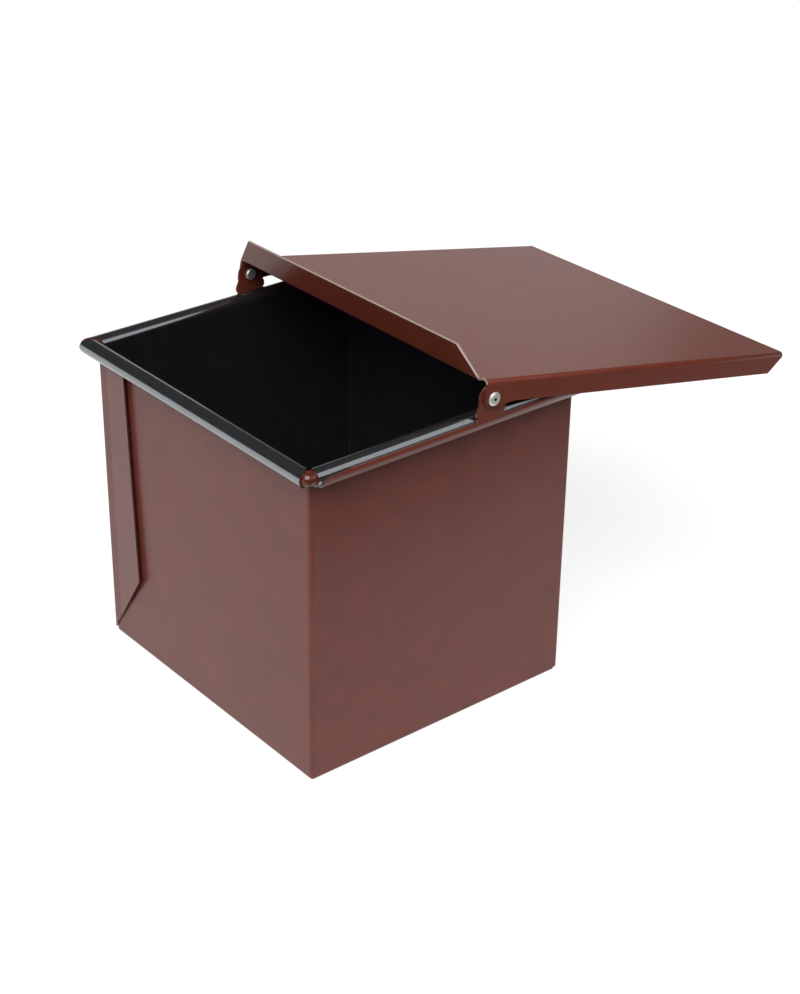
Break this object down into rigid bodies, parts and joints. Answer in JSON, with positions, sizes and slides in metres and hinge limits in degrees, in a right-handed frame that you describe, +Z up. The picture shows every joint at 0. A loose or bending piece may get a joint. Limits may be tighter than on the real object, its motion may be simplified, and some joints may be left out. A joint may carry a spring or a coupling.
{
  "type": "lidded loaf pan",
  "caption": "Deep straight-sided loaf pan of folded coated sheet with a wire-stiffened rolled rim and a skirted lid that swings on riveted side straps.",
  "frame": {"origin": "centre of the pan's base, on the plane that it stands on", "axes": "+Z up; X runs along the front wall, so that the open lid reaches out past +X; -Y is the front, the side whose rivet the picture shows"},
  "size_m": [0.1945, 0.1234, 0.1272],
  "materials": {
    "coated_steel": "satin maroon-brown coating on steel sheet, black non-stick on the inner face and over the rolled rim",
    "non_stick": "satin black non-stick coating",
    "coated_wire": "satin dark brown coating on steel wire",
    "strap_steel": "satin red-brown coating on thin steel strap",
    "bare_steel": "bare bright steel",
    "lid_steel": "satin maroon-brown coating on steel sheet"
  },
  "bodies": {
    "pan": {"front_wall_sheet": "coated_steel", "rear_wall_sheet": "coated_steel", "floor_panel": "non_stick", "rim_wire": "coated_wire", "front_hinge_strap": "strap_steel", "rear_hinge_strap": "strap_steel", "hinge_rivets": "bare_steel"},
    "lid": {"lid": "lid_steel"}
  },
  "joints": [
    {"name": "lid_hinge", "type": "hinge", "parent": "pan", "child": "lid", "pos_m": [0.012, 0, 0.1116], "axis": [0, -1, 0], "range_deg": [0, 80]}
  ]
}
